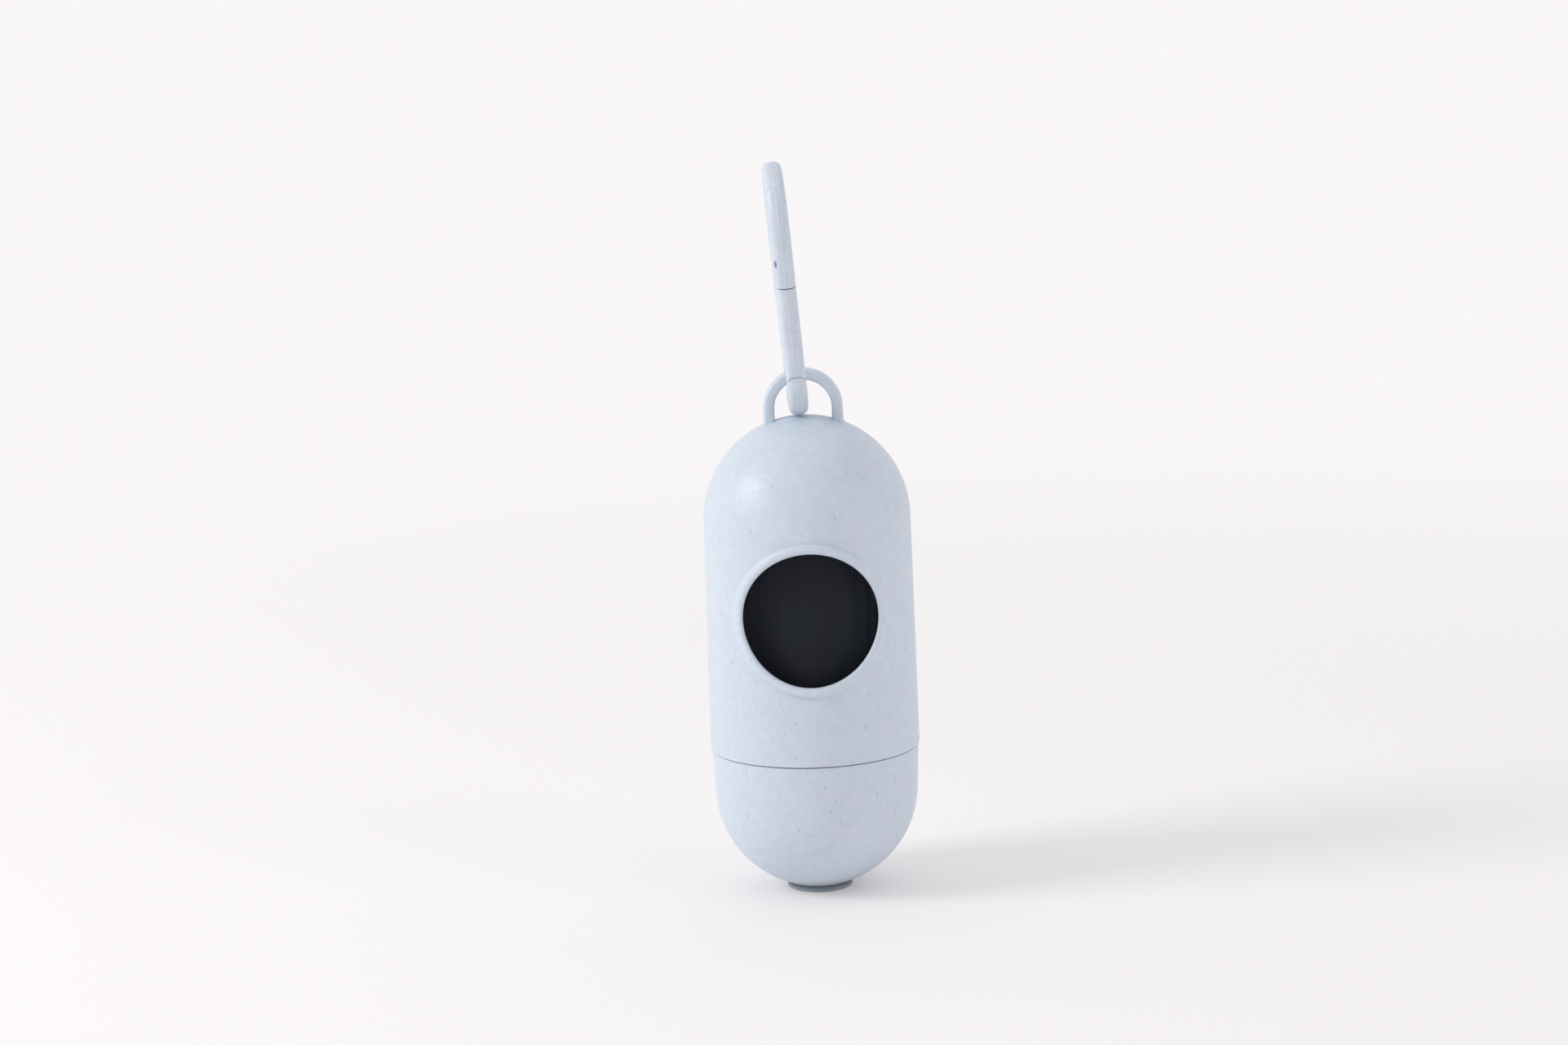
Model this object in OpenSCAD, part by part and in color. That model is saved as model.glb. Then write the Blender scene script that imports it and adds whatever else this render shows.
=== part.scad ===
// Bag dispenser for a dog lead. A two-part capsule holds a roll of bags, which leave
// through a round mouth. A moulded loop on top carries a sprung carabiner.
// Millimetres, +Z up. The origin is on the table, at the centre of the foot ring, and
// the mouth faces -Y. The case is sized from the roll outwards.

/* [Roll of bags] */
// Diameter of a full roll
roll_d = 30; // [28:0.5:31]
// Height of the roll, which is the folded width of its film
roll_h = 60; // [54:1:64]
// Outer diameter of the core
core_d = 14; // [12:0.5:16]
// Wall of the core
core_wall = 1; // [0.6:0.1:1.4]
// Running gap between core and film
film_gap = 0.08; // [0.05:0.01:0.1]
// Gap between the roll's lower edge and the bowl of the cap
seat_gap = 0.3; // [0.2:0.05:0.6]

/* [Case] */
// Wall of cap and shell
wall = 1.8; // [1.4:0.1:2.1]
// Draft of the shell, in degrees, narrowing upwards
shell_draft = 0.5; // [0.2:0.1:1.5]
// Draft of the cap, in degrees, narrowing downwards
cap_draft = 2.75; // [1.5:0.25:4]
// Height of the seam between cap and shell
seam_z = 27.7; // [26:0.1:30]
// Gap left open at the seam
seam_gap = 0.15; // [0.1:0.05:0.3]
// Chamfer on the edges at the seam
seam_edge = 0.12; // [0.05:0.01:0.25]
// How far the shell stands out past the cap at the seam
seam_step = 0.2; // [0:0.05:0.4]
// How far the roll's top stands above the spring line of the upper dome
roll_head = 0.2; // [0:0.1:2]

/* [Screw neck] */
// Room around the roll inside the neck
roll_room = 0.8; // [0.4:0.1:1.4]
// Wall of the neck
neck_wall = 1.2; // [1:0.1:1.6]
// Radial room for the thread between neck and cap
thread_room = 0.8; // [0.6:0.1:1.2]
// Wall of the cap at its mouth
mouth_wall = 1.8; // [1.4:0.1:2.4]
// Length of the neck below the seam
neck_len = 7; // [5:0.5:8]
// Gap between the neck's end and the ledge in the cap
neck_end_gap = 0.8; // [0.5:0.1:1.5]
// Height of the shoulder inside the shell, above the seam
shoulder_h = 1.5; // [0.8:0.1:3]

/* [Foot ring] */
// Outer diameter of the foot ring
foot_d = 12.4; // [10:0.2:16]
// Width of the foot ring
foot_w = 1.6; // [1:0.1:2.5]
// Height of the dome's lowest point above the table
foot_stand = 0.3; // [0.1:0.1:0.8]

/* [Dispensing mouth] */
// Diameter of the mouth
mouth_d = 25; // [20:0.5:28]
// Height of the mouth's centre above the seam
mouth_rise = 27.5; // [24:0.5:30]
// Visible width of the bead around the mouth
bead_w = 1.9; // [1.2:0.1:2.6]
// Height of the bead above the shell
bead_h = 0.9; // [0.4:0.1:1.4]

/* [Hanging loop] */
// Inner radius of the loop
loop_inner_r = 5.35; // [4.8:0.05:6.5]
// Thickness of the loop, seen from the front
loop_w = 2.1; // [1.6:0.1:2.6]
// Depth of the loop, front to back
loop_depth = 3.2; // [2.4:0.1:4]
// Rounding of the loop's edges
loop_round = 0.7; // [0.3:0.1:0.8]

/* [Carabiner] */
// Overall length
ring_len = 47.4; // [42:0.2:56]
// Thickness of the bar across the ring
bar_t = 3.6; // [3.4:0.1:4.6]
// Depth of the bar in the plane of the ring
bar_d = 4.1; // [4:0.1:4.8]
// Rounding of the bar's edges
bar_round = 1.3; // [0.8:0.1:1.6]
// Inner radius of the narrow bend, which turns on the loop
narrow_r = 3.6; // [3.2:0.1:4.2]
// Depth of the round seat cut into the narrow bend, where it turns on the loop
eye_seat = 0.05; // [0.04:0.01:0.1]
// Inner radius of the wide bend
wide_r = 7.5; // [5.5:0.1:9]
// Gap between the narrow bend and the top of the case
ring_gap = 0.2; // [0.15:0.05:0.5]
// How far the ring leans to the left of the case, in degrees
ring_lean = 4.3; // [-6:0.1:6]
// How far the ring is turned about the upright, in degrees
ring_yaw = 2.2; // [-6:0.1:6]
// How far the ring sits to the left of the case's axis
ring_shift = 1.3; // [-1.5:0.1:1.5]

/* [Gate] */
// Length of the gate above its pivot
gate_len = 15.9; // [14:0.1:18]
// Height of the pivot above the start of the straight arm
pivot_rise = 2.4; // [2.2:0.1:3]
// Gap at both ends of the gate
gate_gap = 0.2; // [0.15:0.05:0.3]
// Diameter of the pivot pin
pin_d = 1.5; // [1.2:0.1:1.8]
// Running gap between the pin and the gate
pin_gap = 0.05; // [0.02:0.01:0.08]
// Thickness of the lug on the frame that carries the pin
lug_t = 1.7; // [1.5:0.1:1.9]
// Thickness of the gate's tongue
tongue_t = 1.5; // [1.3:0.1:1.7]
// Side gap beside the lug and the tongue
side_gap = 0.12; // [0.1:0.01:0.15]
// Reach of the tongue beyond the gate's end
tongue_len = 4.4; // [3.2:0.1:4.8]
// Diameter of the cross bar on the tongue
cross_d = 1.4; // [1.2:0.1:1.6]
// Gap around the cross bar in its notch
cross_gap = 0.2; // [0.15:0.05:0.3]
// Outer wall of the nose over the slot for the tongue
nose_wall = 1.2; // [1:0.1:1.4]

/* [Gate spring] */
// Outer diameter of the coil
spring_d = 1.7; // [1.4:0.1:1.9]
// Diameter of the wire
wire_d = 0.28; // [0.2:0.02:0.34]
// Rise of each turn
spring_pitch = 0.75; // [0.74:0.01:0.9]
// Number of turns
spring_turns = 8; // [6:1:10]
// Gap around the spring in its bore
spring_gap = 0.1; // [0.05:0.05:0.2]

/* [Hidden] */
$fn = 96;
BLUE = [0.76, 0.81, 0.88];
OVER = 1;

// Radii of the screw neck and of the seam, from the roll outwards
roll_r = roll_d / 2;
core_r = core_d / 2;
neck_in_r = roll_r + roll_room;
neck_r = neck_in_r + neck_wall;
cap_bore_r = neck_r + thread_room;
rim_r = cap_bore_r + mouth_wall;
seam_r = rim_r + seam_step;
neck_z = seam_z - neck_len;
foot_r = foot_d / 2;

// Lower dome: its flank meets the seam at rim_r, and its lowest point clears the table
cap_dome_r = (rim_r * cos(cap_draft) - (seam_z - foot_stand) * sin(cap_draft))
    / (1 - sin(cap_draft));
cap_dome_z = foot_stand + cap_dome_r;

// The roll stands where its lower edge meets the bowl
roll_z = cap_dome_z - sqrt(pow(cap_dome_r - wall - seat_gap, 2) - pow(roll_r, 2));
roll_top = roll_z + roll_h;

// Upper dome
shell_dome_z = roll_top - roll_head;
shell_dome_r = seam_r * cos(shell_draft) - (shell_dome_z - seam_z) * sin(shell_draft);
case_h = shell_dome_z + shell_dome_r;

// Mouth
mouth_r = mouth_d / 2;
mouth_z = seam_z + mouth_rise;

// Carabiner: two bends joined by straight arms, in the ring's own plane
narrow_out = narrow_r + bar_d;
wide_out = wide_r + bar_d;
narrow_mid = narrow_r + bar_d / 2;
wide_mid = wide_r + bar_d / 2;
bend_gap = ring_len - narrow_out - wide_out;
arm_slope = asin((wide_mid - narrow_mid) / bend_gap);
ring_z = case_h + ring_gap + narrow_out;

// Loop: the middle of its crown is where the narrow bend turns
loop_mid_r = loop_inner_r + loop_w / 2;
loop_z = ring_z - loop_mid_r;

// Gate, measured from its pivot: x outwards, y along the arm, z across the ring
pivot_in = 0.1;
lug_r = 1.45;
lug_wall = 0.15;
heel_proud = 0.05;
heel_r = bar_d / 2 + pivot_in + heel_proud;
seat_r = heel_r + gate_gap;
stub_y = -0.9;
cross_y = gate_len + tongue_len - cross_d / 2;
slot_out = bar_d / 2 - nose_wall;
cross_x = slot_out - side_gap - cross_d / 2;
slot_t = tongue_t + 2 * side_gap;
fork_t = lug_t + 2 * side_gap;
spring_in = 0.75;
spring_seat = 0.05;
bore_x = -pivot_in - spring_in;
spring_y = lug_r + spring_seat;
spring_len = spring_pitch * spring_turns + wire_d;

// Half-width of a dome and its drafted flank, offset by grow: flank narrows upwards
function shell_r(z, grow) = shell_dome_r / cos(shell_draft) + grow / cos(shell_draft)
    - (z - shell_dome_z) * tan(shell_draft);
function cap_r(z, grow) = (cap_dome_r + grow) / cos(cap_draft)
    + (z - cap_dome_z) * tan(cap_draft);

// Rectangle with round corners
module round_rect(w, d, r) {
    square([w - 2 * r, d], center = true);
    square([w, d - 2 * r], center = true);
    for (x = [-1, 1], y = [-1, 1])
        translate([x * (w / 2 - r), y * (d / 2 - r)])
            circle(r, $fn = 32);
}

// Half of a dome's outline, right of the axis, above its tangent line to the flank. The
// flank below laps into it.
module shell_dome_outline(grow) {
    r = shell_dome_r + grow;
    translate([0, shell_dome_z])
        intersection() {
            circle(r);
            translate([0, r * sin(shell_draft)])
                square([r + OVER, r + OVER]);
        }
}

// The same for the lower dome, below its tangent line
module cap_dome_outline(grow) {
    r = cap_dome_r + grow;
    translate([0, cap_dome_z])
        intersection() {
            circle(r);
            translate([0, -r - OVER])
                square([r + OVER, r + OVER - r * sin(cap_draft)]);
        }
}

module shell_outside() {
    top = shell_dome_z + shell_dome_r * sin(shell_draft);
    shell_dome_outline(0);
    polygon([
        [0, neck_z], [neck_r - neck_wall / 3, neck_z], [neck_r, neck_z + neck_wall / 3],
        [neck_r, seam_z], [seam_r - seam_edge, seam_z],
        [shell_r(seam_z + seam_edge, 0), seam_z + seam_edge],
        [shell_r(top, 0), top], [0, top + OVER]
    ]);
}

module shell_inside() {
    r = shell_dome_r - wall;
    top = shell_dome_z + r * sin(shell_draft);
    ledge = seam_z + shoulder_h;
    slope_z = ledge + shell_r(ledge, -wall) - neck_in_r;
    shell_dome_outline(-wall);
    polygon([
        [0, neck_z - OVER], [neck_in_r, neck_z - OVER], [neck_in_r, ledge],
        [shell_r(slope_z, -wall), slope_z], [shell_r(top, -wall), top], [0, top + OVER]
    ]);
}

module cap_outside() {
    low = cap_dome_z - cap_dome_r * sin(cap_draft);
    rim = seam_z - seam_gap;
    cap_dome_outline(0);
    polygon([
        [0, low - OVER], [cap_r(low, 0), low],
        [cap_r(rim - seam_edge, 0), rim - seam_edge],
        [cap_r(rim, 0) - seam_edge, rim], [0, rim]
    ]);
}

module cap_inside() {
    r = cap_dome_r - wall;
    low = cap_dome_z - r * sin(cap_draft);
    ledge = neck_z - neck_end_gap;
    cap_dome_outline(-wall);
    polygon([
        [0, low - OVER], [cap_r(low, -wall), low], [cap_r(ledge, -wall), ledge],
        [cap_bore_r, ledge], [cap_bore_r, seam_z + OVER], [0, seam_z + OVER]
    ]);
}

// Foot ring, moulded with the cap and rooted in its wall
module foot_ring() {
    root = cap_dome_z - sqrt(pow(cap_dome_r, 2) - pow(foot_r, 2)) + wall / 4;
    edge = foot_w / 6;
    rotate_extrude()
        polygon([
            [foot_r - foot_w + edge, 0], [foot_r - edge, 0], [foot_r, edge],
            [foot_r, root], [foot_r - foot_w, root], [foot_r - foot_w, edge]
        ]);
}

module screw_cap() {
    color(BLUE) {
        rotate_extrude()
            difference() {
                cap_outside();
                cap_inside();
            }
        foot_ring();
    }
}

// Bead around the mouth. It rises from the shell as half an ellipse, and its
// centreline follows the curved flank of the shell.
bead_steps = 96;
bead_sides = 10;
bead_lap = 0.2;
bead_half = (bead_w + bead_lap) / 2;
bead_root = 30;
function bead_section() = [for (i = [0:bead_sides])
    let (a = -bead_root + (180 + 2 * bead_root) * i / bead_sides)
    [mouth_r - bead_lap + bead_half * (1 - cos(a)), bead_h * sin(a)]];
function bead_point(a, p) = let (x = p[0] * cos(a), z = mouth_z + p[0] * sin(a))
    [x, -sqrt(pow(shell_r(z, p[1]), 2) - x * x), z];

module mouth_bead() {
    section = bead_section();
    n = len(section);
    points = [for (k = [0:bead_steps - 1], p = section) bead_point(360 * k / bead_steps, p)];
    faces = [for (k = [0:bead_steps - 1], i = [0:n - 1])
        let (a = k * n + i, b = k * n + (i + 1) % n, step = (k + 1) % bead_steps - k)
        each [[a, b + step * n, b], [a, a + step * n, b + step * n]]];
    polyhedron(points, faces);
}

// One leg of the loop, with a flared root that sinks into the dome
module loop_leg(side) {
    rim = loop_mid_r + loop_w / 2;
    leg = loop_z - shell_dome_z - sqrt(pow(shell_dome_r, 2) - pow(rim, 2)) + wall / 3;
    flare = 0.45;
    inset = 0.02;
    translate([side * loop_mid_r, 0, loop_z])
        mirror([0, 0, 1]) {
            linear_extrude(leg)
                round_rect(loop_w, loop_depth, loop_round);
            hull() {
                translate([0, 0, leg - wall / 3 - 3 * flare])
                    linear_extrude(flare)
                        round_rect(loop_w - inset, loop_depth - inset, loop_round);
                translate([0, 0, leg - wall / 3])
                    linear_extrude(wall / 4)
                        round_rect(loop_w + 2 * flare, loop_depth + 2 * flare, loop_round);
            }
        }
}

module hanging_loop() {
    translate([0, 0, loop_z])
        rotate([90, 0, 0])
            rotate_extrude(angle = 180)
                translate([loop_mid_r, 0])
                    round_rect(loop_w, loop_depth, loop_round);
    for (side = [-1, 1])
        loop_leg(side);
}

module upper_shell() {
    color(BLUE)
        difference() {
            union() {
                rotate_extrude()
                    difference() {
                        shell_outside();
                        shell_inside();
                    }
                mouth_bead();
                hanging_loop();
            }
            translate([0, 0, mouth_z])
                rotate([90, 0, 0])
                    cylinder(r = mouth_r, h = seam_r + bead_h + OVER);
        }
}

module roll_core() {
    color([0.72, 0.62, 0.48])
        translate([0, 0, roll_z])
            difference() {
                cylinder(r = core_r, h = roll_h);
                translate([0, 0, -OVER])
                    cylinder(r = core_r - core_wall, h = roll_h + 2 * OVER);
            }
}

module bag_roll() {
    soft = 0.5;
    color([0.1, 0.1, 0.12])
        translate([0, 0, roll_z])
            rotate_extrude()
                polygon([
                    [core_r + film_gap, 0], [roll_r - soft, 0], [roll_r, soft],
                    [roll_r, roll_h - soft], [roll_r - soft, roll_h],
                    [core_r + film_gap, roll_h]
                ]);
}

// Places the ring's own plane in the case's frame: x towards the front, y up
module in_ring() {
    translate([-ring_shift, 0, ring_z])
        rotate([0, -ring_lean, ring_yaw])
            rotate([90, 0, -90])
                children();
}

// Places the gate's frame on the front arm, with its origin on the arm's middle line
module in_gate() {
    in_ring()
        rotate(-arm_slope)
            translate([narrow_mid, pivot_rise, 0])
                children();
}

module bar_section() {
    round_rect(bar_d, bar_t, bar_round);
}

// A straight length of bar along y
module bar(from, to) {
    translate([0, from, 0])
        rotate([-90, 0, 0])
            linear_extrude(to - from)
                bar_section();
}

// Outline of the bar's section, with round corners
corner_steps = 4;
function section_points(w, d, r) = [for (q = [0:3], i = [0:corner_steps])
    let (a = 90 * q + 90 * i / corner_steps)
    [
        (q == 0 || q == 3 ? 1 : -1) * (w / 2 - r) + r * cos(a),
        (q < 2 ? 1 : -1) * (d / 2 - r) + r * sin(a)
    ]];

// Stations along the frame, each the middle of the bar and the way that its outer side
// faces: from the seat of the gate's heel round the narrow bend, up the back arm, over the
// wide bend and down to the nose
narrow_steps = 22;
wide_steps = 34;
arm_steps = 4;
nose_y = gate_len - bar_d / 2;
function narrow_station(i) = let (a = -arm_slope - (180 - 2 * arm_slope) * i / narrow_steps)
    [narrow_mid * cos(a), narrow_mid * sin(a), a];
function wide_station(i) = let (a = 180 + arm_slope - (180 + 2 * arm_slope) * i / wide_steps)
    [wide_mid * cos(a), bend_gap + wide_mid * sin(a), a];
function front_station(y) = let (a = -arm_slope)
    [narrow_mid * cos(a) - y * sin(a), narrow_mid * sin(a) + y * cos(a), a];
function between(p, q, t) = [p[0] + (q[0] - p[0]) * t, p[1] + (q[1] - p[1]) * t, q[2]];
function frame_stations() = concat(
    [front_station(pivot_rise + stub_y)],
    [for (i = [0:narrow_steps]) narrow_station(i)],
    [for (i = [1:arm_steps - 1])
        between(narrow_station(narrow_steps), wide_station(0), i / arm_steps)],
    [for (i = [0:wide_steps]) wide_station(i)],
    [front_station(pivot_rise + nose_y)]
);

// The bar swept through a list of stations
module swept_bar(stations) {
    section = section_points(bar_d, bar_t, bar_round);
    n = len(section);
    ends = (len(stations) - 1) * n;
    points = [for (s = stations, p = section)
        [s[0] + p[0] * cos(s[2]), s[1] + p[0] * sin(s[2]), p[1]]];
    sides = [for (k = [0:len(stations) - 2], i = [0:n - 1])
        let (a = k * n + i, b = k * n + (i + 1) % n)
        each [[a, b + n, b], [a, a + n, b + n]]];
    first = [for (i = [1:n - 2]) [0, i, i + 1]];
    last = [for (i = [1:n - 2]) [ends, ends + i + 1, ends + i]];
    polyhedron(points, concat(sides, first, last));
}

// A bar across the ring, along z
module cross(x, y, r, t) {
    translate([x, y, -t / 2])
        cylinder(r = r, h = t, $fn = 48);
}

// A block centred across the ring, given by its limits along x and y
module block(x, y, t) {
    translate([x[0], y[0], -t / 2])
        cube([x[1] - x[0], y[1] - y[0], t]);
}

// What is cut from the nose: its end follows an arc about the pivot, and the slot for
// the tongue and the notch for its cross bar are both open to the eye
module nose_cuts() {
    notch_r = cross_d / 2 + cross_gap;
    inner = -bar_d;
    intersection() {
        cross(-pivot_in, 0, gate_len + gate_gap, 2 * bar_t);
        block([inner, bar_d], [gate_len / 2, gate_len + bar_d], 3 * bar_t);
    }
    block([inner, slot_out], [gate_len / 2, cross_y + cross_d], slot_t);
    cross(cross_x, cross_y, notch_r, 2 * bar_t);
    block([inner, cross_x], [cross_y - notch_r, cross_y + notch_r], 2 * bar_t);
}

// Lug that carries the pin, with a flat for the spring on its inner side
module lug() {
    difference() {
        union() {
            cross(-pivot_in, 0, lug_r, lug_t);
            block([-pivot_in - lug_r, -pivot_in + lug_r], [-seat_r - OVER / 2, 0], lug_t);
            // the flat's inner corner is rounded off, so the gate clears it as it opens
            intersection() {
                block([-pivot_in - lug_r, -pivot_in], [0, lug_r], lug_t);
                cross(-pivot_in, 0, lug_r + lug_wall, 2 * lug_t);
            }
        }
        cross(-pivot_in, 0, pin_d / 2, 2 * bar_t);
    }
}

module carabiner_frame() {
    color(BLUE) {
        difference() {
            in_ring()
                swept_bar(frame_stations());
            in_gate() {
                nose_cuts();
                // seat of the gate's heel
                cross(-pivot_in, 0, seat_r, 2 * bar_t);
            }
            in_ring()
                cross(0, 0, narrow_r + eye_seat, 2 * bar_t);
        }
        in_gate()
            lug();
    }
}

module carabiner_gate() {
    outer = bar_d / 2;
    color(BLUE)
        in_gate()
            difference() {
                union() {
                    intersection() {
                        bar(-heel_r - OVER, gate_len + OVER);
                        cross(-pivot_in, 0, gate_len, 2 * bar_t);
                    }
                    block([-outer + side_gap * 4, slot_out - side_gap],
                        [gate_len - OVER, cross_y], tongue_t);
                    cross(cross_x, cross_y, cross_d / 2, bar_t - 2 * side_gap);
                }
                // the heel is round about the pin, so it turns in its seat
                difference() {
                    block([-bar_d, bar_d], [-heel_r - 2 * OVER, 0], 2 * bar_t);
                    cross(-pivot_in, 0, heel_r, 3 * bar_t);
                }
                // fork round the lug, closed by the outer wall
                block([-bar_d, -pivot_in + lug_r + lug_wall],
                    [-heel_r - OVER, lug_r + lug_wall * 2], fork_t);
                cross(-pivot_in, 0, pin_d / 2 + pin_gap, 2 * bar_t);
                // blind bore for the spring
                translate([bore_x, spring_y, 0])
                    rotate([-90, 0, 0])
                        cylinder(r = spring_d / 2 + spring_gap, h = spring_len + spring_gap,
                            $fn = 32);
            }
}

module gate_pin() {
    color([0.75, 0.75, 0.78])
        in_gate()
            cross(-pivot_in, 0, pin_d / 2, bar_t - 2 * side_gap);
}

// Compression spring, one unbroken coil of wire
spring_steps = 14;
wire_sides = 6;
function spring_point(i, b) = let (
        a = 360 * i / spring_steps,
        r = spring_d / 2 - wire_d / 2 * (1 - cos(b))
    )
    [r * cos(a), r * sin(a), wire_d / 2 * (1 + sin(b)) + spring_pitch * i / spring_steps];

module gate_spring() {
    rings = spring_steps * spring_turns;
    points = [for (i = [0:rings], j = [0:wire_sides - 1]) spring_point(i, 360 * j / wire_sides)];
    side = [for (i = [0:rings - 1], j = [0:wire_sides - 1])
        let (a = i * wire_sides + j, b = i * wire_sides + (j + 1) % wire_sides)
        each [[a, b + wire_sides, a + wire_sides], [a, b, b + wire_sides]]];
    first = [for (j = [1:wire_sides - 2]) [0, j + 1, j]];
    last = [for (j = [1:wire_sides - 2])
        [rings * wire_sides, rings * wire_sides + j, rings * wire_sides + j + 1]];
    echo(spring_gap_between_turns = spring_pitch - wire_d);
    color([0.7, 0.7, 0.72])
        in_gate()
            translate([bore_x, spring_y, 0])
                rotate([-90, 0, 0])
                    polyhedron(points, concat(side, first, last));
}

screw_cap();
upper_shell();
roll_core();
bag_roll();
carabiner_frame();
carabiner_gate();
gate_pin();
gate_spring();
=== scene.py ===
"""Looks of a capsule-shaped bag dispenser with a carabiner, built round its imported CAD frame.

Every piece is a fine mesh in the place of its CAD node. Pieces are made in millimetres, as in
the CAD source, and become metres when they are dressed. Lights, camera and floor are in
metres. The mouth of the case faces -Y, and +Z is up.
"""

import math

import bmesh
import bpy
from mathutils import Matrix, Quaternion, Vector, noise


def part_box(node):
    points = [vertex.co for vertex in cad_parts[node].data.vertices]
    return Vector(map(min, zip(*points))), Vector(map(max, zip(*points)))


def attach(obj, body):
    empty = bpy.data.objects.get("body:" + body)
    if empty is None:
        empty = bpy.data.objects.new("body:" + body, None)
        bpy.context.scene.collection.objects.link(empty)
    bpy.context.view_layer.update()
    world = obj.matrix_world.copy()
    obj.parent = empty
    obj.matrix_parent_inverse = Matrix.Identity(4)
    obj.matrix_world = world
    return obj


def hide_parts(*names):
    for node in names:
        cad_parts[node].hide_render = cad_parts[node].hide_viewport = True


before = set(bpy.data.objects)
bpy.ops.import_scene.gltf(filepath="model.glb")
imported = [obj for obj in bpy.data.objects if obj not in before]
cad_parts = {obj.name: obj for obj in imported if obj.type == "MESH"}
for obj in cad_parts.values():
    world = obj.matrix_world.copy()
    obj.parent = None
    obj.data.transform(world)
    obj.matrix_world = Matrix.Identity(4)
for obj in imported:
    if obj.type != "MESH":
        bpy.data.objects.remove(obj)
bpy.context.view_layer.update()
MM = 0.001
TURN = 2 * math.pi


def limits(node):
    """Lowest and highest corner of a CAD node, in millimetres."""
    low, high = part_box(node)
    return low / MM, high / MM


# ---------------------------------------------------------------- sizes, in mm
CAP_HIGH = limits("screw_cap")[1]
SHELL_LOW, SHELL_HIGH = limits("upper_shell")
ROLL_LOW, ROLL_HIGH = limits("bag_roll")
CORE_LOW, CORE_HIGH = limits("roll_core")

WALL = 1.8
EDGE = 0.05
SEAM_GAP = 0.15
RIM_EASE = 0.08
RIM_R = 19.6
SEAM_R = RIM_R + 0.2
RIM_Z = CAP_HIGH.z - RIM_EASE
SEAM_Z = CAP_HIGH.z + SEAM_GAP
SHELL_DRAFT = math.radians(0.5)
CAP_DRAFT = math.radians(2.75)
ROLL_HEAD = 0.2
DOME_Z = ROLL_HIGH.z - ROLL_HEAD
DOME_R = SEAM_R * math.cos(SHELL_DRAFT) - (DOME_Z - SEAM_Z) * math.sin(SHELL_DRAFT)
FOOT_STAND = 0.3
BOWL_R = (RIM_R * math.cos(CAP_DRAFT) - (SEAM_Z - FOOT_STAND) * math.sin(CAP_DRAFT)) / (
    1 - math.sin(CAP_DRAFT)
)
BOWL_Z = FOOT_STAND + BOWL_R

NECK_Z = SHELL_LOW.z
NECK_IN_R = 15.8
NECK_R = 17.0
BORE_R = 17.8
LEDGE_Z = NECK_Z - 0.8
SHOULDER_Z = SEAM_Z + 1.5

THREAD_H = 0.6
THREAD_BASE = 1.6
THREAD_CREST = 0.7
THREAD_LEAD = 12.0
THREAD_STARTS = 2
THREAD_Z = NECK_Z + 1.6
THREAD_SPAN = 0.317
THREAD_STEP = 1.7
THREAD_FADE = 0.03
CAP_LEAD_IN = 0.1

FOOT_R = 6.2
FOOT_W = 1.6

MOUTH_R = 12.5
MOUTH_Z = SEAM_Z + 27.5
BEAD_W = 1.9
BEAD_H = 0.87
BEAD_FOOT = 14.8
BEAD_STEP = 0.03
MOUTH_FLARE = 0.35

LOOP_R = 6.4
LOOP_W = 2.1
LOOP_D = 3.2
LOOP_ROUND = 0.7
LOOP_Z = SHELL_HIGH.z - LOOP_R - LOOP_W / 2

BAR_T = 3.6
BAR_D = 4.1
BAR_ROUND = 1.3
NARROW_IN = 3.6
WIDE_IN = 7.5
NARROW_R = NARROW_IN + BAR_D / 2
WIDE_R = WIDE_IN + BAR_D / 2
RING_LEN = 47.4
BEND_GAP = RING_LEN - NARROW_R - WIDE_R - BAR_D
ARM_SLOPE = math.asin((WIDE_R - NARROW_R) / BEND_GAP)
RING_SHIFT = 1.3
RING_Z = LOOP_Z + LOOP_R
RING_LEAN = math.radians(4.3)
RING_YAW = math.radians(2.2)

PIVOT_RISE = 2.4
PIVOT_IN = 0.1
HEEL_R = BAR_D / 2 + PIVOT_IN + 0.05
GATE_GAP = 0.2
SEAT_R = HEEL_R + GATE_GAP
GATE_LEN = 15.9
SIDE_GAP = 0.12
LUG_R = 1.45
LUG_T = 1.7
LUG_WALL = 0.15
PIN_R = 0.75
PIN_GAP = 0.05
TONGUE_T = 1.5
CROSS_R = 0.7
CROSS_GAP = 0.2
CROSS_Y = GATE_LEN + 4.4 - CROSS_R
SLOT_OUT = BAR_D / 2 - 1.2
CROSS_X = SLOT_OUT - SIDE_GAP - CROSS_R
SPRING_R = 0.85
SPRING_WIRE = 0.28
SPRING_PITCH = 0.75
SPRING_TURNS = 8
SPRING_GAP = 0.1
SPRING_X = -PIVOT_IN - 0.75
SPRING_Y = LUG_R + 0.05

# The oval dimple on the nose: its centre and half sizes, in the gate's frame.
DIMPLE = (1.3, GATE_LEN + GATE_GAP + 4.6, 1.45)
DIMPLE_HALF = (0.55, 0.8, 0.32)

# The ring's own plane: x towards the front, y up. The gate's frame starts at its pivot.
RING = (
    Matrix.Translation((-RING_SHIFT, 0, RING_Z))
    @ Matrix.Rotation(RING_YAW, 4, "Z")
    @ Matrix.Rotation(-RING_LEAN, 4, "Y")
    @ Matrix.Rotation(-TURN / 4, 4, "Z")
    @ Matrix.Rotation(TURN / 4, 4, "X")
)
GATE = (
    RING
    @ Matrix.Rotation(-ARM_SLOPE, 4, "Z")
    @ Matrix.Translation((NARROW_R, PIVOT_RISE, 0))
)


# ---------------------------------------------------------------- mesh helpers
def line(p, q, steps):
    """Points from p to q, without q."""
    return [tuple(a + (b - a) * i / steps for a, b in zip(p, q)) for i in range(steps)]


def arc(x, y, r, start, end, steps):
    """Points on an arc in degrees, with both ends."""
    turns = [math.radians(start + (end - start) * i / steps) for i in range(steps + 1)]
    return [(x + r * math.cos(a), y + r * math.sin(a)) for a in turns]


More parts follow.
